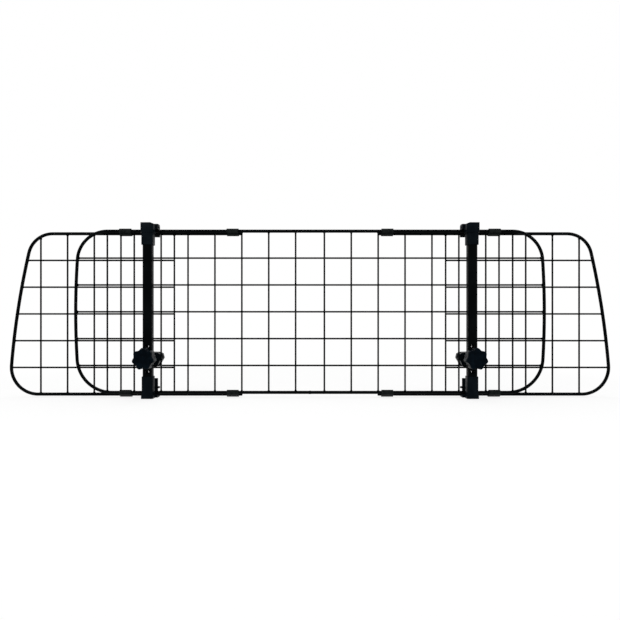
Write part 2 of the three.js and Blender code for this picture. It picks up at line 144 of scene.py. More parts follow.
def newMaterial(name):
    material = bpy.data.materials.new(name)
    material.use_nodes = True
    shader = next(node for node in material.node_tree.nodes if node.type == "BSDF_PRINCIPLED")
    start = Flow(material.node_tree)
    place = start.add("ShaderNodeTexCoord", out="Object")
    return material, shader, start, place


def feed(shader, values):
    for name, value in values.items():
        if isinstance(value, Flow):
            shader.id_data.links.new(value.socket, shader.inputs[name])
        else:
            shader.inputs[name].default_value = value


def noise(start, place, size, detail=2.0, roughness=0.5):  # size of its blotches in millimetres
    values = {"Vector": place, "Scale": 1 / (size * mm), "Detail": detail, "Roughness": roughness}
    return start.add("ShaderNodeTexNoise", {}, values)


def between(start, mask, low, high):  # a Mix node's colours are its inputs 6 and 7, its numbers 2 and 3
    if isinstance(low, tuple):
        return start.add("ShaderNodeMix", {"data_type": "RGBA"}, {0: mask, 6: (*low, 1), 7: (*high, 1)}, 2)
    return start.add("ShaderNodeMix", {"data_type": "FLOAT"}, {0: mask, 2: low, 3: high}, 0)


def over(start, mask, colour, paint):  # a colour that varies, with plain paint over it
    return start.add("ShaderNodeMix", {"data_type": "RGBA"}, {0: mask, 6: colour, 7: (*paint, 1)}, 2)


def stepped(start, value, low, high):  # 0 below low, 1 above high, smooth between them
    values = {"Value": value, "From Min": low, "From Max": high}
    return start.add("ShaderNodeMapRange", {"interpolation_type": "SMOOTHSTEP"}, values)


def part(start, vector, axis):  # the X, Y or Z of a vector
    return start.add("ShaderNodeSeparateXYZ", {}, {"Vector": vector}, axis)


def length(across, up):
    return (across * across + up * up).math("SQRT")


def bumped(start, height, depth, normal=None):
    values = {"Height": height, "Distance": depth * mm, "Strength": 1.0}
    if normal:
        values["Normal"] = normal
    return start.add("ShaderNodeBump", {}, values)


coat = {
    "dark": (0.0003, 0.0007, 0.0009),
    "pale": (0.0009, 0.0016, 0.0019),
    "paleFrom": (0.35, 0.7),
    "cloudSize": 38.0,
    "dust": (0.014, 0.0135, 0.013),
    "dustSize": 0.9,
    "dustFrom": (0.73, 0.78),
    "dustClouds": (0.5, 0.62),  # dust lies only where the clouds are pale
    "dustShare": 0.7,
    "dustRoughness": 0.3,
    "roughness": (0.32, 0.46),
    "specular": 0.02,
    "peelSize": 1.6,  # orange peel of the powder coat
    "peelDepth": 0.035,
    "grainSize": 0.25,
    "grainDepth": 0.006,
    "grainShare": 0.4,  # of what varies the roughness; the rest is clouds
}


def powderCoat():
    material, shader, start, place = newMaterial("powder coat")
    cloud = noise(start, place, coat["cloudSize"], detail=3.0)
    peel = noise(start, place, coat["peelSize"], detail=1.0)
    grain = noise(start, place, coat["grainSize"], roughness=0.6)
    dust = stepped(start, noise(start, place, coat["dustSize"], detail=0.0), *coat["dustFrom"])
    specks = dust * stepped(start, cloud, *coat["dustClouds"])
    colour = between(start, stepped(start, cloud, *coat["paleFrom"]), coat["dark"], coat["pale"])
    mask = cloud * (1 - coat["grainShare"]) + grain * coat["grainShare"]
    feed(
        shader,
        {
            "Base Color": over(start, specks * coat["dustShare"], colour, coat["dust"]),
            "Roughness": between(start, mask, *coat["roughness"]) + specks * coat["dustRoughness"],
            "Normal": bumped(start, grain, coat["grainDepth"], bumped(start, peel, coat["peelDepth"])),
            "Specular IOR Level": coat["specular"],
        },
    )
    return material


hookLook = {
    "dark": (0.0014, 0.0028, 0.0042),
    "pale": (0.0030, 0.0052, 0.0070),
    "paleFrom": (0.35, 0.68),
    "cloudSize": 16.0,
    "worn": (0.007, 0.009, 0.011),
    "scuffSize": 7.0,
    "scuffFrom": (0.6, 0.72),
    "scuffShare": 0.55,
    "scuffGloss": 0.1,
    "roughness": (0.28, 0.44),
    "roughnessMix": (0.5, 0.3),  # how far the fine grain and the clouds vary it
    "specular": 0.02,
    "grainSize": 0.55,
    "grainDepth": 0.02,
    "fineSize": 0.45,  # of the grain's size
    "fineDepth": 0.5,  # of the grain's depth
}
clipLook = {
    **hookLook,
    "dark": (0.0036, 0.0048, 0.0047),
    "pale": (0.0092, 0.0112, 0.0108),
    "worn": (0.018, 0.021, 0.021),
    "cloudSize": 5.0,
    "scuffSize": 4.0,
}
knobLook = {
    **hookLook,
    "dark": (0.0003, 0.0014, 0.0028),
    "pale": (0.0010, 0.0032, 0.0058),
    "worn": (0.008, 0.013, 0.017),
    "cloudSize": 11.0,
    "gripRadius": (16.8, 19.8),  # hands polish the tips of the lobes
    "gripMix": (0.5, 0.6),  # of scuffs and of that polish
}


def mouldedPlastic(name, look):
    material, shader, start, place = newMaterial(name)
    cloud = noise(start, place, look["cloudSize"], detail=3.0)
    cells = {"Vector": place, "Scale": 1 / (look["grainSize"] * mm)}
    grain = start.add("ShaderNodeTexVoronoi", {"feature": "F1"}, cells)
    fine = noise(start, place, look["grainSize"] * look["fineSize"], roughness=0.6)
    blotches = noise(start, place, look["scuffSize"], detail=4.0, roughness=0.7)
    scuffs = stepped(start, blotches, *look["scuffFrom"])
    mask = stepped(start, cloud, *look["paleFrom"])
    if "gripRadius" in look:
        across = part(start, place, "X").math("ABSOLUTE") - boltAxis["across"] * mm
        up = part(start, place, "Z") - boltAxis["height"] * mm
        polish = stepped(start, length(across, up), *(size * mm for size in look["gripRadius"]))
        scuffs = scuffs * look["gripMix"][0] + polish * look["gripMix"][1]
    colour = between(start, mask, look["dark"], look["pale"])
    uneven = fine * look["roughnessMix"][0] + mask * look["roughnessMix"][1]
    fineDepth = look["grainDepth"] * look["fineDepth"]
    feed(
        shader,
        {
            "Base Color": over(start, scuffs * look["scuffShare"], colour, look["worn"]),
            "Roughness": between(start, uneven, *look["roughness"]) - scuffs * look["scuffGloss"],
            "Normal": bumped(start, fine, fineDepth, bumped(start, grain, look["grainDepth"])),
            "Specular IOR Level": look["specular"],
        },
    )
    return material


zinc = {
    "dull": (0.30, 0.31, 0.33),
    "bright": (0.62, 0.63, 0.65),
    "cloudSize": 6.0,
    "roughness": (0.26, 0.48),
    "metallic": (0.85, 1.0),
    "markSize": 1.2,  # marks round the axis of a turned piece
    "markStretch": (1.0, 9.0, 1.0),
    "markShare": 0.4,
    "markDepth": 0.008,
}


def zincPlate():
    material, shader, start, place = newMaterial("zinc plate")
    cloud = noise(start, place, zinc["cloudSize"], detail=3.0)
    marks = noise(start, place * zinc["markStretch"], zinc["markSize"])
    mask = cloud * (1 - zinc["markShare"]) + marks * zinc["markShare"]
    feed(
        shader,
        {
            "Base Color": between(start, mask, zinc["dull"], zinc["bright"]),
            "Metallic": between(start, cloud, *zinc["metallic"]),
            "Roughness": between(start, mask, *zinc["roughness"]),
            "Normal": bumped(start, marks, zinc["markDepth"]),
        },
    )
    return material


finishes = {
    "powder_coat": powderCoat(),
    "hook_plastic": mouldedPlastic("hook plastic", hookLook),
    "clip_plastic": mouldedPlastic("clip plastic", clipLook),
    "knob_plastic": mouldedPlastic("knob plastic", knobLook),
    "zinc_plate": zincPlate(),
}
print("finishes made:", len(finishes))


def fit(piece, node, slot):  # the finished piece stands for a node and moves as it does
    piece.data.materials.clear()
    piece.data.materials.append(finishes[slot])
    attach(piece, bodyOf[node])
    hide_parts(node)


def newObject(name, mesh):
    piece = bpy.data.objects.new(name, mesh)
    scene.collection.objects.link(piece)
    return piece


def settle(piece):  # turns what the modifiers make into the piece's own plain mesh
    graph = bpy.context.evaluated_depsgraph_get()
    graph.update()
    mesh = bpy.data.meshes.new_from_object(piece.evaluated_get(graph))
    piece.modifiers.clear()
    old = piece.data
    piece.data = mesh
    bpy.data.meshes.remove(old)
    return piece


def fromMesh(name, shape, placing, merge=0.0005):
    bmesh.ops.remove_doubles(shape, verts=shape.verts, dist=merge)
    shape.transform(placing)
    bmesh.ops.recalc_face_normals(shape, faces=shape.faces)
    mesh = bpy.data.meshes.new(name)
    shape.to_mesh(mesh)
    shape.free()
    return newObject(name, mesh)


def carve(piece, *cutters):
    for cutter in cutters:
        modifier = piece.modifiers.new("cut", "BOOLEAN")
        modifier.operation = "DIFFERENCE"
        modifier.solver = "EXACT"
        modifier.object = cutter
    settle(piece)
    for cutter in cutters:
        bpy.data.objects.remove(cutter)
    return piece


def smooth(piece, degrees=34.0):  # soft shading, but for edges sharper than this
    shape = bmesh.new()
    shape.from_mesh(piece.data)
    for face in shape.faces:
        face.smooth = True
    for edge in shape.edges:
        edge.smooth = len(edge.link_faces) == 2 and edge.calc_face_angle(0.0) < math.radians(degrees)
    shape.to_mesh(piece.data)
    shape.free()
    return piece


def roundEdges(piece, width, segments=3, degrees=30.0):
    for face in piece.data.polygons:
        face.use_smooth = True
    modifier = piece.modifiers.new("edges", "BEVEL")
    modifier.width = width
    modifier.segments = segments
    modifier.limit_method = "ANGLE"
    modifier.angle_limit = math.radians(degrees)
    modifier.harden_normals = True
    modifier.miter_outer = "MITER_ARC"
    return settle(piece)


def join(piece, *others):
    shape = bmesh.new()
    for item in (piece, *others):
        shape.from_mesh(item.data)
    shape.to_mesh(piece.data)
    shape.free()
    for item in others:
        bpy.data.objects.remove(item)
    return piece


def toMetres(piece):
    piece.data.transform(Matrix.Scale(mm, 4))
    return piece


def onUpright(side, height=0.0, tilt=0.0):  # places a shape drawn about an upright's axis
    mirror = Matrix.Diagonal((side, 1, 1, 1))
    turn = Matrix.Rotation(math.radians(tilt), 4, "Y")
    return mirror @ Matrix.Translation((boltAxis["across"], shift, height)) @ turn


def sweep(centre, radius, first, last, steps):  # points on an arc, from one angle to another
    angles = [first + (last - first) * step / steps for step in range(steps + 1)]
    return [(centre[0] + radius * math.cos(a), centre[1] + radius * math.sin(a)) for a in angles]


def circle(radius, sides=40, centre=(0.0, 0.0)):
    return sweep(centre, radius, 0.0, 2 * math.pi, sides)[:-1]


def hexagon(across):
    reach = across / 2 / math.cos(math.pi / 6)
    return [(reach * math.sin(math.pi / 3 * step), reach * math.cos(math.pi / 3 * step)) for step in range(6)]


def roundedSquare(half, corner, steps=6):
    points = []
    for turn, (x, y) in enumerate(((1, 1), (-1, 1), (-1, -1), (1, -1))):
        middle = (x * (half - corner), y * (half - corner))
        points += sweep(middle, corner, quarter * turn, quarter * (turn + 1), steps)
    return points


def band(shape, first, second):  # faces between two rings, of which one may be a single point
    for index in range(max(len(first), len(second))):
        following = index + 1
        corners = [first[index % len(first)], first[following % len(first)]]
        corners += [second[following % len(second)], second[index % len(second)]]
        shape.faces.new(list(dict.fromkeys(corners)))


def prism(outline, start, end, axis, hole=None):  # an outline drawn out along an axis
    place = "xyz".index(axis)
    shape = bmesh.new()
    tubes = []
    for ring in (outline, hole) if hole else (outline,):
        ends = [[(*point[:place], level, *point[place:]) for point in ring] for level in (start, end)]
        tubes.append([[shape.verts.new(corner) for corner in corners] for corners in ends])
    for low, high in tubes:
        band(shape, low, high)
    for rings in zip(*tubes):
        if hole:
            band(shape, *rings)
        else:
            shape.faces.new(*rings)
    return shape


def turned(profile, sides, closed=False):  # a profile of radius and depth, turned about an axis along Y
    shape = bmesh.new()
    angles = [2 * math.pi * step / sides for step in range(sides)]
    rings = []
    for radius, depth in profile:
        around = angles if radius else [0.0]  # a single point where it meets the axis
        rings.append([shape.verts.new((radius * math.sin(a), depth, radius * math.cos(a))) for a in around])
    for first, second in list(zip(rings, rings[1:])) + ([(rings[-1], rings[0])] if closed else []):
        band(shape, first, second)
    return shape


def drill(name, radius, front, back, placing):  # the cutter of a round hole
    return fromMesh(name, prism(circle(radius), front - overrun, back + overrun, "y"), placing)


def nodeCopy(name, node, merge=0.002, flatness=1.0):  # a CAD node's own shape, with its flat faces made whole
    shape = bmesh.new()
    shape.from_mesh(frame["nodes"][node].data)
    shape.transform(Matrix.Scale(1 / mm, 4))
    bmesh.ops.remove_doubles(shape, verts=shape.verts, dist=merge)
    limit = math.radians(flatness)
    bmesh.ops.dissolve_limit(shape, angle_limit=limit, verts=shape.verts, edges=shape.edges)
    mesh = bpy.data.meshes.new(name)
    shape.to_mesh(mesh)
    shape.free()
    return newObject(name, mesh)


def newTree(name, **sockets):
    tree = bpy.data.node_groups.new(name, "GeometryNodeTree")
    tree.interface.new_socket("Geometry", in_out="INPUT", socket_type="NodeSocketGeometry")
    for label, kind in sockets.items():
        tree.interface.new_socket(label, in_out="INPUT", socket_type="NodeSocket" + kind)
    tree.interface.new_socket("Geometry", in_out="OUTPUT", socket_type="NodeSocketGeometry")
    source = tree.nodes.new("NodeGroupInput")
    return Flow(tree), {label: Flow(tree, source.outputs[label]) for label in ("Geometry", *sockets)}


def endTree(start, geometry, finish):
    smoothed = start.add("GeometryNodeSetShadeSmooth", {}, {"Geometry": geometry})
    real = start.add("GeometryNodeRealizeInstances", {}, {"Geometry": smoothed})
    covered = start.add("GeometryNodeSetMaterial", {}, {"Geometry": real, "Material": finish})
    result = start.tree.nodes.new("NodeGroupOutput")
    start.tree.links.new(covered.socket, result.inputs["Geometry"])
    return start.tree


def grow(piece, tree, slot, **values):  # runs a tree on a piece and keeps the result as its plain mesh
    modifier = piece.modifiers.new("tree", "NODES")
    modifier.node_group = tree
    values["finish"] = finishes[slot]
    for socket in tree.interface.items_tree:
        if socket.in_out == "INPUT" and socket.name in values:
            modifier[socket.identifier] = values[socket.name]
    settle(piece)
    for name in ("girth", "weldSize"):
        if name in piece.data.attributes:
            piece.data.attributes.remove(piece.data.attributes[name])
    return piece


def roundSection(start, given):
    sizes = {"Resolution": given["sides"], "Radius": given["radius"]}
    return start.add("GeometryNodeCurvePrimitiveCircle", {}, sizes)


def pointNumber(start, name):  # a number that the points of a path carry
    return start.add("GeometryNodeInputNamedAttribute", {"data_type": "FLOAT"}, {"Name": name})


def rodTree():  # a rod of round section along the edges of a path, as thick as the path's points say
    start, given = newTree("bentRod", radius="Float", sides="Int", finish="Material")
    path = start.add("GeometryNodeMeshToCurve", {}, {"Mesh": given["Geometry"]})
    values = {"Curve": path, "Profile Curve": roundSection(start, given), "Fill Caps": True}
    values["Scale"] = pointNumber(start, "girth")
    return endTree(start, start.add("GeometryNodeCurveToMesh", {}, values), given["finish"])


def wireTree():  # wires along the edges, and a bead of weld at every point that has no edge
    sockets = {"radius": "Float", "sides": "Int", "bead": "Float", "flatness": "Float", "seed": "Int"}
    start, given = newTree("weldedWires", **sockets, finish="Material")
    path = start.add("GeometryNodeMeshToCurve", {}, {"Mesh": given["Geometry"]})
    values = {"Curve": path, "Profile Curve": roundSection(start, given), "Fill Caps": True}
    wires = start.add("GeometryNodeCurveToMesh", {}, values)
    neighbours = start.add("GeometryNodeInputMeshVertexNeighbors", out="Vertex Count")
    loose = neighbours.math("LESS_THAN", 0.5)
    ball = start.add("GeometryNodeMeshIcoSphere", {}, {"Radius": given["bead"], "Subdivisions": 2}, "Mesh")
    squash = start.add("ShaderNodeCombineXYZ", {}, {"X": 1.0, "Y": given["flatness"], "Z": 1.0})
    bead = start.add("GeometryNodeTransform", {}, {"Geometry": ball, "Scale": squash})
    spread = {"Min": 0.92, "Max": 1.08, "Seed": given["seed"]}  # no two beads are quite alike
    chance = start.add("FunctionNodeRandomValue", {"data_type": "FLOAT"}, spread, 1)
    values = {"Points": given["Geometry"], "Selection": loose, "Instance": bead}
    values["Scale"] = pointNumber(start, "weldSize") * chance
    beads = start.add("GeometryNodeInstanceOnPoints", {}, values)
    joined = start.add("GeometryNodeJoinGeometry", {}, {"Geometry": [wires, beads]})
    return endTree(start, joined, given["finish"])


def polar(start, given):  # how far a point is from the axis across, up and in all, and its angle from upright
    position = start.add("GeometryNodeInputPosition")
    across = part(start, position, "X") - given["axisX"]
    up = part(start, position, "Z") - given["axisZ"]
    return across, up, length(across, up), across.math("ARCTAN2", up)


def pushed(start, given, across, up, radius, amount):  # moves points along their own radius
    offset = start.add("ShaderNodeCombineXYZ", {}, {"X": across / radius * amount, "Z": up / radius * amount})
    moved = start.add("GeometryNodeSetPosition", {}, {"Geometry": given["Geometry"], "Offset": offset})
    return endTree(start, moved, given["finish"])


def lobeTree():  # waves the wall of a turned knob in and out
    names = ("axisX", "axisZ", "lobes", "depth", "turn", "inner", "outer")
    start, given = newTree("starLobes", **dict.fromkeys(names, "Float"), finish="Material")
    across, up, radius, angle = polar(start, given)
    wave = ((angle - given["turn"]) * given["lobes"]).math("COSINE") * given["depth"] * 0.5
    fade = stepped(start, radius, given["inner"], given["outer"])
    return pushed(start, given, across, up, radius, wave * fade)


def threadTree():  # cuts a thread into a turned shank, from one depth to another
    names = ("axisX", "axisZ", "pitch", "depth", "first", "last")
    start, given = newTree("cutThread", **dict.fromkeys(names, "Float"), finish="Material")
    across, up, radius, angle = polar(start, given)
    along = part(start, start.add("GeometryNodeInputPosition"), "Y")
    turn = (along / given["pitch"] - angle / (2 * math.pi)).math("FRACT")
    groove = 1 - ((turn - 0.5).math("ABSOLUTE") * 2)
    reach = along.math("GREATER_THAN", given["first"]) * along.math("LESS_THAN", given["last"])
    return pushed(start, given, across, up, radius, groove * reach * given["depth"] * -1.0)


trees = {"rod": rodTree(), "wires": wireTree(), "lobes": lobeTree(), "thread": threadTree()}
print("geometry trees made:", len(trees))


# the bent rods and the welded wires of the three panels
wire = {
    "rodRadius": 3.0,
    "rodSides": 28,
    "radius": 1.6,  # a 3 mm wire and its coat
    "sides": 14,
    "offset": 1.3,  # level and upright wires lie this far to either side of the rods' plane
    "pitch": 50.0,
    "rows": 6,
    "bedding": 0.55,  # how far a wire's end goes into the rod
    "overhang": 0.2,  # how far a side panel's level wires pass its first upright wire
    "bead": 1.85,
    "rodBead": 1.25,  # beads against the rods are this much larger
    "flatness": 0.7,  # keeps the beads on the rods narrower than the slots of the clips
    "bowRadius": 1500.0,
}
centrePanel = {
    "widest": 436.0,
    "bowHeight": 159.0,
    "top": 309.0,
    "topBend": 56.0,
    "bottomBend": 65.0,
    "firstWire": 26.7,
    "uprights": 8,
    "seam": ((3.1, 1.0), (2.5, 1.0), (2.15, 1.07), (1.2, 1.09), (0.0, 1.105)),  # place and girth
}
sidePanel = {
    "widest": 563.5,
    "bowHeight": -64.0,
    "top": 305.0,
    "topBend": 46.0,
    "bottomBend": 50.0,
    "firstWire": 254.1,
    "uprights": 6,
    "depth": 6.5,
    "rodEnd": 126.5,
    "cutChamfer": 0.6,
}


def arc(centre, radius, first, last, step):  # points on an arc, no further apart than a step
    return sweep(centre, radius, first, last, max(2, math.ceil(abs(last - first) * radius / step)))


class PanelEnd:  # the bent end of a panel: a bend, a long shallow bow and a bend
    def __init__(self, panel):
        self.panel = panel
        reach = wire["bowRadius"]
        self.bow = (panel["widest"] - reach, panel["bowHeight"])
        self.bottom = panel["top"] - wire["pitch"] * wire["rows"]
        self.upper = self.bend(panel["top"] - panel["topBend"], panel["topBend"])
        self.lower = self.bend(self.bottom + panel["bottomBend"], panel["bottomBend"])
        self.upperAngle = math.atan2(self.upper[1] - self.bow[1], self.upper[0] - self.bow[0])
        self.lowerAngle = math.atan2(self.lower[1] - self.bow[1], self.lower[0] - self.bow[0])

    def bend(self, height, radius):  # the middle of a bend that runs on from the bow
        across = math.sqrt((wire["bowRadius"] - radius) ** 2 - (height - self.bow[1]) ** 2)
        return (self.bow[0] + across, height)

    def points(self, bendStep=2.2, bowStep=7.0):
        points = arc(self.upper, self.panel["topBend"], quarter, self.upperAngle, bendStep)
        points += arc(self.bow, wire["bowRadius"], self.upperAngle, self.lowerAngle, bowStep)[1:]
        return points + arc(self.lower, self.panel["bottomBend"], self.lowerAngle, -quarter, bendStep)[1:]

    def uprightEnds(self, across, gap):  # where a wire ends that stops this far from the rod's axis
        top, bottom = self.panel["topBend"], self.panel["bottomBend"]
        topSlope = math.asin(max((across - self.upper[0]) / top, 0))
        bottomSlope = math.asin(max((across - self.lower[0]) / bottom, 0))
        high = self.upper[1] + top * math.cos(topSlope) - gap / math.cos(topSlope)
        return self.lower[1] - bottom * math.cos(bottomSlope) + gap / math.cos(bottomSlope), high

    def levelEnd(self, height, gap):
        centre, radius = self.bow, wire["bowRadius"]
        if height > self.bow[1] + radius * math.sin(self.upperAngle):
            centre, radius = self.upper, self.panel["topBend"]
        elif height < self.bow[1] + radius * math.sin(self.lowerAngle):
            centre, radius = self.lower, self.panel["bottomBend"]
        slope = math.asin(abs(height - centre[1]) / radius)
        return centre[0] + radius * math.cos(slope) - gap / math.cos(slope)


def pathObject(name, points, edges, attribute, amounts):
    mesh = bpy.data.meshes.new(name)
    mesh.from_pydata([(x * mm, (y + shift) * mm, z * mm) for x, y, z in points], edges, [])
    layer = mesh.attributes.new(attribute, "FLOAT", "POINT")
    layer.data.foreach_set("value", amounts)
    return newObject(name, mesh)


def rod(name, points, edges, girths):
    piece = pathObject(name, points, edges, "girth", girths)
    sizes = {"radius": wire["rodRadius"] * mm, "sides": wire["rodSides"]}
    return grow(piece, trees["rod"], "powder_coat", **sizes)


def centreRod():
    end = PanelEnd(centrePanel)
    *seam, middle = centrePanel["seam"]
    half = [(x, z, 1.0) for x, z in end.points()] + [(x, end.bottom, girth) for x, girth in seam]
    loop = half + [(middle[0], end.bottom, middle[1])] + [(-x, z, girth) for x, z, girth in reversed(half)]
    points = [(x, 0.0, z) for x, z, girth in loop]
    edges = [(index, (index + 1) % len(loop)) for index in range(len(loop))]
    piece = rod("centreRod", points, edges, [girth for x, z, girth in loop])
    fit(piece, "centre_frame", "powder_coat")


def sideRod(side, label):
    end = PanelEnd(sidePanel)
    cut, chamfer = sidePanel["rodEnd"], sidePanel["cutChamfer"]
    stub = [(cut, 1 - chamfer / wire["rodRadius"]), (cut + chamfer, 1.0)]
    run = [(x, sidePanel["top"], girth) for x, girth in stub] + [(x, z, 1.0) for x, z in end.points()]
    run += [(x, end.bottom, girth) for x, girth in reversed(stub)]
    points = [(side * x, sidePanel["depth"], z) for x, z, girth in run]
    edges = [(index, index + 1) for index in range(len(run) - 1)]
    piece = rod(label + "SideRod", points, edges, [girth for x, z, girth in run])
    fit(piece, label + "_side_frame", "powder_coat")


def wires(name, panel, node, sides, seed):
    end = PanelEnd(panel)
    depth = panel.get("depth", 0.0)
    front, back = depth - wire["offset"], depth + wire["offset"]
    throughout = len(sides) == 2  # the centre panel's level wires run from side to side
    levelAt, uprightAt = (back, front) if throughout else (front, back)
    heights = [panel["top"] - (row + 1) * wire["pitch"] for row in range(wire["rows"] - 1)]
    places = [panel["firstWire"] + step * wire["pitch"] for step in range(panel["uprights"])]
    bedded, surface = wire["rodRadius"] - wire["bedding"], wire["rodRadius"]
    freeEnd = panel["firstWire"] - wire["radius"] - wire["overhang"]
    points, edges, beads = [], [], []

    def run(first, last):
        edges.append((len(points), len(points) + 1))
        points.extend((first, last))

    for height in heights:
        reach, weld = end.levelEnd(height, bedded), end.levelEnd(height, surface)
        inner = -reach if throughout else freeEnd
        run((sides[0] * inner, levelAt, height), (sides[0] * reach, levelAt, height))
        beads += [((side * weld, levelAt, height), wire["rodBead"]) for side in sides]
        beads += [((side * across, depth, height), 1.0) for side in sides for across in places]
    for side in sides:
        for across in places:
            low, high = end.uprightEnds(across, bedded)
            run((side * across, uprightAt, low), (side * across, uprightAt, high))
            welds = end.uprightEnds(across, surface)
            beads += [((side * across, uprightAt, height), wire["rodBead"]) for height in welds]
    sizes = [0.0] * len(points) + [size for place, size in beads]
    piece = pathObject(name, points + [place for place, size in beads], edges, "weldSize", sizes)
    inputs = {"radius": wire["radius"] * mm, "bead": wire["bead"] * mm, "sides": wire["sides"]}
    grow(piece, trees["wires"], "powder_coat", **inputs, flatness=wire["flatness"], seed=seed)
    fit(piece, node, "powder_coat")


centreRod()
wires("centreWires", centrePanel, "centre_mesh", (1, -1), 3)
for side, label in ((-1, "left"), (1, "right")):
    sideRod(side, label)
    wires(label + "SideWires", sidePanel, label + "_side_mesh", (side,), 5 + side)
print("rods and wires made")


# the two-barrel clips that the side panels slide in
clip = {
    "outer": 343.5,
    "inner": 144.0,
    "length": 22.0,
    "bore": 3.3,
    "wall": 1.5,
    "setback": 6.5,
    "drop": 4.0,
    "slotHalf": 1.8,
    "slotOffset": 1.3,
    "edge": 0.35,
    "top": 309.0,
    "bottom": 9.0,
    "skinSteps": 20,
    "boreSteps": 28,
    "gapSteps": 8,
    "samples": 400,  # places between the two barrels, to find the underside of the clip
}


def clipOutline(towards):  # drawn with its slots open downwards, then turned over where they open upwards
    bore, outside = clip["bore"], clip["bore"] + clip["wall"]
    half, offset = clip["slotHalf"], clip["slotOffset"]
    frontSlot, rearSlot = (-offset - half, -offset + half), (offset - half, offset + half)
    rear = (clip["setback"], clip["drop"] * towards)
    lean = math.atan2(rear[1], rear[0])
    samples, gapSteps = clip["samples"], clip["gapSteps"]

    def low(across):  # the underside of the clip's outer skin
        heights = []
        for step in range(samples + 1):
            middle = (rear[0] * step / samples, rear[1] * step / samples)
            if abs(across - middle[0]) < outside:
                heights.append(middle[1] - math.sqrt(outside**2 - (across - middle[0]) ** 2))
        return (across, min(heights))

    def lipAngle(across, radius):  # where a slot's edge meets the underside of a barrel
        return -math.acos(across / radius)

    def boreArc(centre, slot):
        first, last = lipAngle(slot[1], bore), 2 * math.pi + lipAngle(slot[0], bore)
        return sweep(centre, bore, first, last, clip["boreSteps"])

    first, last = 2 * math.pi + lipAngle(frontSlot[0], outside), lipAngle(rearSlot[1], outside)
    outline = sweep((0, 0), outside, first, lean + quarter, clip["skinSteps"])
    outline += sweep(rear, outside, lean + quarter, last, clip["skinSteps"])
    outline += boreArc(rear, rearSlot)
    gap = (rear[0] + rearSlot[0], frontSlot[1])
    outline += [low(gap[0] + (gap[1] - gap[0]) * step / gapSteps) for step in range(gapSteps + 1)]
    outline += boreArc((0, 0), frontSlot)
    return [(across, -up * towards) for across, up in outline]


def addClip(side, label, place, level):
    towards = -1 if level == "top" else 1
    ends = (clip[place] - clip["length"] / 2, clip[place] + clip["length"] / 2)
    placing = Matrix.Diagonal((side, 1, 1, 1)) @ Matrix.Translation((0, shift, clip[level]))
    name = label + place.capitalize() + level.capitalize() + "Clip"
    piece = fromMesh(name, prism(clipOutline(towards), *ends, "x"), placing)
    roundEdges(piece, clip["edge"], segments=2, degrees=45.0)
    fit(toMetres(piece), f"{label}_{place}_{level}_clip", "clip_plastic")


for side, label in ((-1, "left"), (1, "right")):
    for place in ("outer", "inner"):
        for level in ("top", "bottom"):
            addClip(side, label, place, level)
print("clips made")


upright = {
    "width": 17.0,
    "wall": 1.5,
    "corner": 2.0,
    "holes": (49.3, 74.5, 95.7),
    "holeRadius": 3.2,
    "edge": 0.35,
}


def post(side, label):
    half, wall, rounding = upright["width"] / 2, upright["wall"], upright["corner"]
    outside, inside = roundedSquare(half, rounding), roundedSquare(half - wall, rounding - wall)
    front, back = depths(label + "_post")
    middle = (front + back) / 2
    outside, inside = ([(x, y + middle) for x, y in ring] for ring in (outside, inside))
    tube = prism(outside, *levels(label + "_post"), "z", inside)
    piece = fromMesh(label + "Post", tube, onUpright(side))
    places = [onUpright(side, height) for height in upright["holes"]]
    carve(piece, *[drill("hole", upright["holeRadius"], front, back, place) for place in places])
    roundEdges(piece, upright["edge"], segments=2, degrees=40.0)
    fit(toMetres(piece), label + "_post", "powder_coat")


hook = {
    "topEdge": 0.7,
    "bottomEdge": 0.6,
    "bossPlace": (-15.4, 3.2, 316.6),  # from the upright's axis, the centre rods and the floor
    "bossRadius": 2.5,
    "bossBore": 1.3,
    "bossHeight": 0.7,
    "bossEdge": 0.4,
    "bossEdgeSteps": 3,
    "bossSides": 32,
}


def ringBoss(side):  # a small raised ring on a side of the top hook
    inner, outer, height, edge = (hook["boss" + name] for name in ("Bore", "Radius", "Height", "Edge"))
    rounding = sweep((outer - edge, height - edge), edge, 0.0, quarter, hook["bossEdgeSteps"])
    profile = [(inner, 0.0), (outer, 0.0), *rounding, (inner, height)]
    shape = turned(profile, hook["bossSides"], closed=True)
    shape.transform(Matrix.Translation(hook["bossPlace"]) @ Matrix.Rotation(quarter, 4, "Z"))
    return fromMesh("boss", shape, onUpright(side))


def hooks(side, label):
    top = nodeCopy(label + "TopHook", label + "_top_hook")
    roundEdges(top, hook["topEdge"], degrees=28.0)
    fit(toMetres(join(top, smooth(ringBoss(side)))), label + "_top_hook", "hook_plastic")
    bottom = nodeCopy(label + "BottomHook", label + "_bottom_hook")
    roundEdges(bottom, hook["bottomEdge"], degrees=28.0)
    fit(toMetres(bottom), label + "_bottom_hook", "hook_plastic")


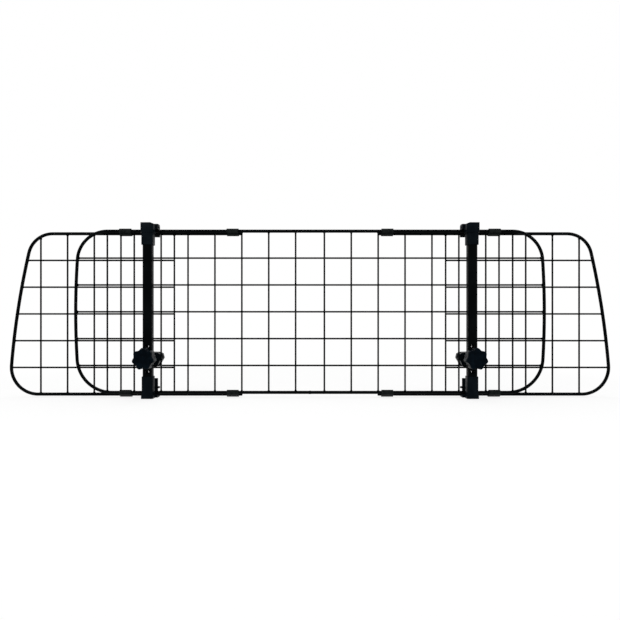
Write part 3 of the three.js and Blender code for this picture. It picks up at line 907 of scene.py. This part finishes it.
fasteners = {
    "bore": 3.3,
    "washerRadius": 9.0,
    "washerEdge": 0.3,
    "spacerRadius": 4.2,
    "spacerEdge": 0.4,
    "ringSides": 56,  # of the washer and the spacer
    "hexAcross": 10.0,
    "nutEdge": 0.35,
    "headHeight": 4.0,
    "headEdge": 0.45,
    "shank": 3.0,
    "shankSides": 26,
    "pitch": 1.0,
    "threadDepth": 0.55,
    "threadEnd": 44.0,
    "tipChamfer": 0.8,
    "plainTip": 1.0,  # the bolt's tip, in front of the thread
    "leadIn": 0.1,
    "ringsPerTurn": 7,
    "sink": 0.5,  # how far the shank goes into the head
}
clamp = {
    "tilt": -31.0,
    "halfWidth": 15.0,
    "flare": 0.5,
    "head": 10.0,
    "headCorner": (6.0, 6.0),
    "bevel": (18.0, 10.0),  # on the corner of that end that is further from the middle of the guard
    "reach": 21.5,
    "endCorner": 8.0,
    "neck": 6.5,
    "groove": 13.0,
    "grooveRadius": 7.0,
    "grooveDepth": 4.0,
    "grooveSides": 64,
    "pocketDepth": 4.3,
    "pocketSlack": 0.6,
    "edge": 0.7,
}


def jaw(side, name, node, faceBack):  # faceBack says that the groove is in the back, as in the front jaw
    half, head, neck, reach = clamp["halfWidth"], clamp["head"], clamp["neck"], clamp["reach"]
    grip = half + clamp["flare"]

    def edge(towards, cut):  # one side of the jaw, from its grip to its head
        points = [(grip - clamp["endCorner"], -reach), (grip, clamp["endCorner"] - reach)]
        points += [(grip, -neck - clamp["flare"]), (half, -neck)]
        points += [(half, head - cut[1]), (half - cut[0], head)]
        return [(towards * x, z) for x, z in points]

    outline = edge(1, clamp["bevel"]) + edge(-1, clamp["headCorner"])[::-1]
    front, back = depths(node)
    placing = onUpright(side, boltAxis["height"], clamp["tilt"])
    piece = fromMesh(name, prism(outline, front, back, "y"), placing)
    face, inward = (back, -1) if faceBack else (front, 1)
    centre = (face - inward * (clamp["grooveRadius"] - clamp["grooveDepth"]), -clamp["groove"])
    end = grip + 2 * overrun
    groove = prism(circle(clamp["grooveRadius"], clamp["grooveSides"], centre), -end, end, "x")
    cutters = [fromMesh("groove", groove, placing), drill("hole", fasteners["bore"], front, back, placing)]
    if not faceBack:
        across = fasteners["hexAcross"] + clamp["pocketSlack"]
        pocket = prism(hexagon(across), back - clamp["pocketDepth"], back + overrun, "y")
        cutters.append(fromMesh("pocket", pocket, placing))
    carve(piece, *cutters)
    roundEdges(piece, clamp["edge"])
    fit(toMetres(piece), node, "hook_plastic")


knobSizes = {
    "hubLength": 4.0,
    "middleRadius": 18.4,
    "lobes": 7,
    "lobeDepth": 3.2,
    "lobeTurn": 2.0,
    "lobeFade": (9.8, 15.5),
    "edge": 2.0,
    "edgeSteps": 6,
    "backEdge": 5.0,
    "backEdgeSteps": 8,
    "wallPlaces": (0.3, 0.5, 0.7),  # extra rings on the wall, as shares of the way from front to back
    "dish": 0.9,
    "dishProfile": ((0.0, 1.0), (5.0, 0.93), (9.0, 0.55), (12.4, 0.12), (13.6, 0.0)),  # radius and share
    "hubFillet": ((12.5, 0.0), (10.6, 0.1), (9.7, 0.6), (9.3, 1.6)),  # radius and depth behind the lobes
    "hubRadius": 9.0,
    "hubChamfer": 0.6,
    "pocketRadius": 6.2,
    "pocketDepth": 5.3,
    "bore": 3.3,
    "frontWall": 3.0,
    "sides": 224,
}


def axisInputs(side):  # the bolt's axis, for a tree that works round it
    return {"axisX": side * boltAxis["across"] * mm, "axisZ": boltAxis["height"] * mm}


def knob(side, label):
    k = knobSizes
    front, rear = depths(label + "_knob")
    back, floorOfBore, pocket = rear - k["hubLength"], front + k["frontWall"], rear - k["pocketDepth"]
    radius, edge, backEdge, chamfer = k["middleRadius"], k["edge"], k["backEdge"], k["hubChamfer"]
    profile = [(across, front + k["dish"] * share) for across, share in k["dishProfile"]]
    profile += sweep((radius - edge, front + edge), edge, -quarter, 0.0, k["edgeSteps"])
    profile += [(radius, front + (back - front) * share) for share in k["wallPlaces"]]
    profile += sweep((radius - backEdge, back - backEdge), backEdge, 0.0, quarter, k["backEdgeSteps"])
    profile += [(across, back + depth) for across, depth in k["hubFillet"]]
    profile += [(k["hubRadius"], rear - chamfer), (k["hubRadius"] - chamfer, rear)]
    profile += [(k["pocketRadius"], rear), (k["pocketRadius"], pocket), (k["bore"], pocket)]
    profile += [(k["bore"], floorOfBore), (0.0, floorOfBore)]
    placing = onUpright(side, boltAxis["height"])
    piece = toMetres(fromMesh(label + "Knob", turned(profile, k["sides"]), placing))
    inner, outer = (size * mm for size in k["lobeFade"])
    inputs = {"lobes": float(k["lobes"]), "depth": k["lobeDepth"] * mm, "inner": inner, "outer": outer}
    inputs["turn"] = math.radians(side * k["lobeTurn"])
    grow(piece, trees["lobes"], "knob_plastic", **axisInputs(side), **inputs)
    fit(smooth(piece), label + "_knob", "knob_plastic")


def ringPiece(side, name, node, outer, edge):
    inner = fasteners["bore"]
    front, back = depths(node)
    profile = [(inner + edge, front), (outer - edge, front), (outer, front + edge), (outer, back - edge)]
    profile += [(outer - edge, back), (inner + edge, back), (inner, back - edge), (inner, front + edge)]
    ring = turned(profile, fasteners["ringSides"], closed=True)
    piece = fromMesh(name, ring, onUpright(side, boltAxis["height"]))
    fit(smooth(toMetres(piece), degrees=50.0), node, "zinc_plate")


def nut(side, label):
    front, back = depths(label + "_knob_nut")
    placing = onUpright(side, boltAxis["height"])
    piece = fromMesh(label + "Nut", prism(hexagon(fasteners["hexAcross"]), front, back, "y"), placing)
    carve(piece, drill("bore", fasteners["bore"], front, back, placing))
    roundEdges(piece, fasteners["nutEdge"], segments=2, degrees=40.0)
    fit(toMetres(piece), label + "_knob_nut", "zinc_plate")


def bolt(side, label):
    f = fasteners
    tip, headBack = depths(label + "_clamp_bolt")
    radius, headFront = f["shank"], headBack - f["headHeight"]
    first, last = tip + f["plainTip"], f["threadEnd"]
    rings = int((last - first) / f["pitch"] * f["ringsPerTurn"])
    shank = [(0.0, tip), (radius - f["tipChamfer"], tip), (radius, tip + f["tipChamfer"])]
    shank += [(radius, first + (last - first) * step / rings) for step in range(rings + 1)]
    shank += [(radius, headFront + f["sink"]), (0.0, headFront + f["sink"])]
    placing = onUpright(side, boltAxis["height"], clamp["tilt"])
    piece = toMetres(fromMesh(label + "ClampBolt", turned(shank, f["shankSides"]), placing))
    inputs = {"pitch": f["pitch"] * mm, "depth": f["threadDepth"] * mm}
    inputs |= {"first": (first - f["leadIn"] + shift) * mm, "last": (last + shift) * mm}
    smooth(grow(piece, trees["thread"], "zinc_plate", **axisInputs(side), **inputs), degrees=60.0)
    head = fromMesh("head", prism(hexagon(f["hexAcross"]), headFront, headBack, "y"), placing)
    roundEdges(head, f["headEdge"], degrees=40.0)
    fit(join(piece, toMetres(head)), label + "_clamp_bolt", "zinc_plate")


for side, label in ((-1, "left"), (1, "right")):
    post(side, label)
    hooks(side, label)
    knob(side, label)
    nut(side, label)
    for name in ("washer", "spacer"):
        sizes = (fasteners[name + "Radius"], fasteners[name + "Edge"])
        ringPiece(side, label + name.capitalize(), f"{label}_{name}", *sizes)
    jaw(side, label + "FrontJaw", label + "_front_jaw", True)
    jaw(side, label + "RearJaw", label + "_rear_jaw", False)
    bolt(side, label)
    print(label, "upright and clamp made")


# the floor, the background, the light and the camera
studio = {
    "focal": 628.7,  # in pixels of a picture 620 wide
    "picture": 620.0,
    "distance": 1170.0,  # of the camera from the centre rods
    "eyeHeight": 153.0,
    "horizon": 5.0,  # pixels below the middle of the picture
    "ambient": 0.5,
    "floorReach": 4.0,  # metres
    "floorDrop": 0.0004,  # metres
    "floorColour": (0.9, 0.9, 0.9, 1),
    "shadowShare": 0.22,
    "shadowFade": (0.62, 0.95),  # metres from the middle of the guard, where the shadow fades away
}
lamps = (  # name, place and width in metres, and power in watts
    ("key", (-1.3, -1.7, 1.5), 1.5, 22.0),
    ("fill", (1.5, -1.5, 1.0), 1.3, 13.0),
    ("top", (0.0, 0.5, 2.2), 1.8, 22.0),
)
lampTarget = Vector((0, 0, 0.15))
white = (1, 1, 1, 1)

reach, drop = studio["floorReach"], -studio["floorDrop"]
floorMesh = bpy.data.meshes.new("floor")
corners = [(-reach, -reach, drop), (reach, -reach, drop), (reach, reach, drop), (-reach, reach, drop)]
floorMesh.from_pydata(corners, [], [(0, 1, 2, 3)])
floor = newObject("floor", floorMesh)


def rayKinds(start):  # 1 for what the camera sees, for what gloss shows and for what glass shows
    kinds = ("Is Camera Ray", "Is Glossy Ray", "Is Transmission Ray")
    return [start.add("ShaderNodeLightPath", out=kind) for kind in kinds]


def paleFloor():
    material = bpy.data.materials.new("pale floor")
    material.use_nodes = True
    material.node_tree.nodes.clear()
    start = Flow(material.node_tree)
    camera, glossy, glass = rayKinds(start)
    place = start.add("ShaderNodeTexCoord", out="Object")
    away = start.add("ShaderNodeVectorMath", {"operation": "LENGTH"}, {"Vector": place}, 1)
    shadow = (1 - stepped(start, away, *studio["shadowFade"])) * studio["shadowShare"]
    share = (camera * (1 - shadow)).math("MAXIMUM", glossy.math("MAXIMUM", glass))
    plain = start.add("ShaderNodeBsdfDiffuse", {}, {"Color": studio["floorColour"]})
    bright = start.add("ShaderNodeEmission", {}, {"Color": white, "Strength": 1.0})
    mixed = start.add("ShaderNodeMixShader", {}, {0: share, 1: plain, 2: bright})
    start.add("ShaderNodeOutputMaterial", {}, {"Surface": mixed})
    return material


floorMesh.materials.append(paleFloor())
floor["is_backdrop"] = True

world = bpy.data.worlds.new("studio")
scene.world = world
world.use_nodes = True
world.node_tree.nodes.clear()
sky = Flow(world.node_tree)
cameraRay, glossyRay, glassRay = rayKinds(sky)
dim = sky.add("ShaderNodeBackground", {}, {"Color": white, "Strength": studio["ambient"]})
bright = sky.add("ShaderNodeBackground", {}, {"Color": white, "Strength": 1.0})
seen = cameraRay.math("MAXIMUM", glossyRay.math("MAXIMUM", glassRay))
mixed = sky.add("ShaderNodeMixShader", {}, {0: seen, 1: dim, 2: bright})
sky.add("ShaderNodeOutputWorld", {}, {"Surface": mixed})

for name, place, size, power in lamps:
    light = bpy.data.lights.new(name, "AREA")
    light.shape = "DISK"
    light.size = size
    light.energy = power
    lamp = newObject(name, light)
    lamp.location = place
    lamp.rotation_euler = (lampTarget - Vector(place)).to_track_quat("-Z", "Y").to_euler()

cameraData = bpy.data.cameras.new("camera")
cameraData.sensor_width = 36.0
cameraData.lens = cameraData.sensor_width * studio["focal"] / studio["picture"]
cameraData.shift_y = studio["horizon"] / studio["picture"]
cameraData.clip_start = 0.05
camera = newObject("camera", cameraData)
camera.location = (0, (shift - studio["distance"]) * mm, studio["eyeHeight"] * mm)
camera.rotation_euler = (quarter, 0, 0)
scene.camera = camera
scene.view_settings.view_transform = "Standard"

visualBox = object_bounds()
sizes = {"cad": [list(place) for place in cadBox], "visual": [list(place) for place in visualBox]}
print("studio made")
